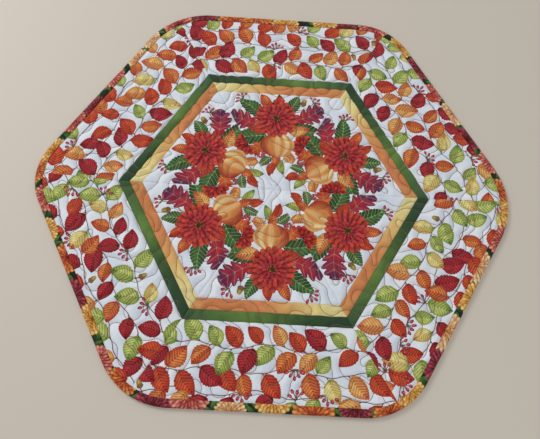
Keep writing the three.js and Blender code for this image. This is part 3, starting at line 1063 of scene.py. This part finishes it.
def makeBinding():
    sides, far = [], 0
    for k in range(6):
        ends, _ = trimmedEdge(k, np.linspace(0, 1, 400))
        length = np.linalg.norm(np.diff(ends, axis=0), axis=1).sum()
        steps = round(length / binding["alongSpacing"])
        share = np.arange(steps) / steps
        sides.append((*trimmedEdge(k, share), far + share * length))
        far += length
    edge, outward, along = (np.concatenate(parts) for parts in zip(*sides))
    over = binding["over"] + binding["lip"]
    profile = np.array(binding["under"] + over + binding["inside"], float)
    count, size = len(edge), len(profile)
    across = np.concatenate([[0], np.cumsum(np.linalg.norm(np.diff(profile, axis=0), axis=1))])
    s, w = np.repeat(along, size), np.tile(across, count)
    inset, height = np.tile(profile[:, 0], count), np.tile(profile[:, 1], count)
    first = len(binding["under"])
    onTop = np.tile((np.arange(size) >= first) & (np.arange(size) < first + len(over)), count)
    turn = 2 * math.pi * s / far
    wander = binding["gatherWander"] * np.sin(turn * binding["gatherWaves"])
    gather = np.cos(turn * round(far / binding["gatherPitch"]) + wander)
    slow, quick = binding["swellWaves"]
    swell = np.sin(turn * slow) + 0.7 * np.sin(turn * quick + 1)
    nearLip = ease(3, 9, inset) * onTop
    ripple = binding["swell"] * swell * ease(0, 3, inset)
    ripple = ripple + binding["gather"] * gather * nearLip * (1 - nearLip * 0.5)
    height = height + onTop * binding["ripple"] * ripple
    inset = inset + nearLip * binding["lipPull"] * gather
    plan = np.repeat(edge, size, 0) - np.repeat(outward, size, 0) * inset[:, None]
    i = np.arange(count)[:, None] * size
    j = np.arange(size)[None, :]
    nextSection, nextPoint = (i + size) % (count * size), (j + 1) % size
    a, b = (i + j).ravel(), (nextSection + j).ravel()
    c, d = (nextSection + nextPoint).ravel(), (i + nextPoint).ravel()
    triangles = np.concatenate([np.stack([a, b, c], 1), np.stack([a, c, d], 1)])
    points = np.column_stack([plan, height])
    bias = np.column_stack([s + w, w - s]) / math.sqrt(2)  # the weave runs at 45 degrees to the edge
    numbers = layersOf(drawBinding(s, w, far))
    piece = newPiece("binding_cloth", points, triangles, [bindingCotton], numbers, bias)
    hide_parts("binding")


print("binding")
makeBinding()

stitches = {
    "pitch": 2.35,
    "length": 2.3,
    "radius": 0.31,
    "rise": 0.2,  # of the thread's middle above the cloth
    "dip": 0.06,  # of its two ends into the cloth
    "bend": 0.1,  # share of the length in which it dips
    "margin": 9.4,  # from the trimmed edge
    "colours": ("#7d4740", "#9c665c"),
    "toneScale": 700,  # patches about 1.4 mm long
}


# Plied thread of polished cotton: mauve brown, a little uneven, with more shine than the cloth
def makeThreadMaterial():
    material, add = newMaterial("cotton_thread_mauve")
    place = add("TexCoord").outputs["Object"]
    tone = add("TexNoise", {"Vector": place, "Scale": stitches["toneScale"], "Detail": 1.0})
    dark, pale = (rgba(code) for code in stitches["colours"])
    colour = add("Mix", {0: tone, 6: dark, 7: pale}, data_type="RGBA")
    finish = {"Base Color": colour, "Roughness": 0.6, "Sheen Weight": 0.2}
    add("OutputMaterial", [add("BsdfPrincipled", finish)])
    return material


# The stitches: short threads along the quilting line. Each has a point, two rings of four points and a point,
# and dips into the cloth at both ends.
def makeStitches():
    starts = np.arange(0, lineAlong[-1] - stitches["pitch"], stitches["pitch"])
    closed = np.concatenate([line, line[:1]])

    def at(distance):
        return np.stack([np.interp(distance, lineAlong, closed[:, axis]) for axis in (0, 1)], -1)

    kept = insideBy(*at(starts + stitches["length"] / 2).T) > stitches["margin"]
    starts = starts[kept]
    bend, rise, dip = stitches["bend"], stitches["rise"], stitches["dip"]
    places = at(starts[:, None] + np.array([0, bend, 1 - bend, 1]) * stitches["length"])
    heights = topHeight(places[..., 0], places[..., 1]) + np.array([-dip, rise, rise, -dip])
    middles = np.concatenate([places, heights[..., None]], -1)
    forward = middles[:, 3] - middles[:, 0]
    forward /= np.linalg.norm(forward, axis=1)[:, None]
    sideways = np.stack([-forward[:, 1], forward[:, 0], 0 * forward[:, 0]], -1)
    sideways /= np.linalg.norm(sideways, axis=1)[:, None]
    upward = np.cross(forward, sideways)
    circle = towards(math.pi / 2 * np.arange(4)) * stitches["radius"]
    ring = sideways[:, None] * circle[:, :1] + upward[:, None] * circle[:, 1:]
    rings = [middles[:, 0:1], middles[:, 1:2] + ring, middles[:, 2:3] + ring, middles[:, 3:4]]
    points = np.concatenate(rings, 1).reshape(-1, 3)
    q = np.arange(4)
    r = (q + 1) % 4
    faces = [(0 * q, 1 + r, 1 + q), (1 + q, 1 + r, 5 + r), (1 + q, 5 + r, 5 + q), (9 + 0 * q, 5 + q, 5 + r)]
    one = np.concatenate([np.stack(face, 1) for face in faces])
    triangles = (one[None] + 10 * np.arange(len(starts))[:, None, None]).reshape(-1, 3)
    newPiece("quilting_thread", points, triangles, [makeThreadMaterial()], {}, points[:, :2])
    print("stitches", len(starts))


makeStitches()

studio = {
    "floor": "#d8cdbd",
    "floorReach": 6,  # metres
    "lamps": [  # name, place and size in metres, power in watts
        ("window", (-1.5, 1.1, 1.25), 0.9, 21),
        ("room", (0.9, -1.2, 2.2), 2.4, 13.5),
    ],
    "skyColour": (0.92, 0.96, 1, 1),
    "skyStrength": 0.43,
    "lensMm": 37.13,
    "sensorMm": 36,
    "cameraPlace": (-13.23, -295.04, 608.97 + 3.5),  # mm from the middle of the wedges, whose face is at 3.5
    "cameraTurn": (0.3955, -0.0361, 0.0477),
}


# A plain painted floor: matt, so that it shows the topper's soft shadow and no reflection
def makeFloor():
    mesh = bpy.data.meshes.new("floor")
    reach = studio["floorReach"]
    corners = [(-reach, -reach, 0), (reach, -reach, 0), (reach, reach, 0), (-reach, reach, 0)]
    mesh.from_pydata(corners, [], [(0, 1, 2, 3)])
    floor = newObject("floor", mesh)
    material, add = newMaterial("floor_matt")
    add("OutputMaterial", [add("BsdfPrincipled", {"Base Color": rgba(studio["floor"]), "Roughness": 0.6})])
    mesh.materials.append(material)


def makeLamp(name, place, size, power):  # a round lamp that faces the middle of the floor
    light = bpy.data.lights.new(name, "AREA")
    light.shape = "DISK"
    light.size = size
    light.energy = power
    lamp = newObject(name, light)
    lamp.location = place
    x, y, z = place
    lamp.rotation_euler = (math.atan2(math.hypot(x, y), z), 0, math.atan2(x, -y))


def makeStudio():
    makeFloor()
    for lamp in studio["lamps"]:
        makeLamp(*lamp)
    world = bpy.data.worlds.new("soft_room")
    bpy.context.scene.world = world
    world.use_nodes = True
    sky = world.node_tree.nodes["Background"]
    sky.inputs[0].default_value = studio["skyColour"]
    sky.inputs[1].default_value = studio["skyStrength"]
    bpy.context.scene.view_settings.view_transform = "Standard"
    data = bpy.data.cameras.new("camera")
    data.sensor_width = studio["sensorMm"]
    data.lens = studio["lensMm"]
    camera = newObject("camera", data)
    camera.location = middle + np.array(studio["cameraPlace"]) * 0.001
    camera.rotation_euler = studio["cameraTurn"]
    bpy.context.scene.camera = camera


print("studio")
makeStudio()
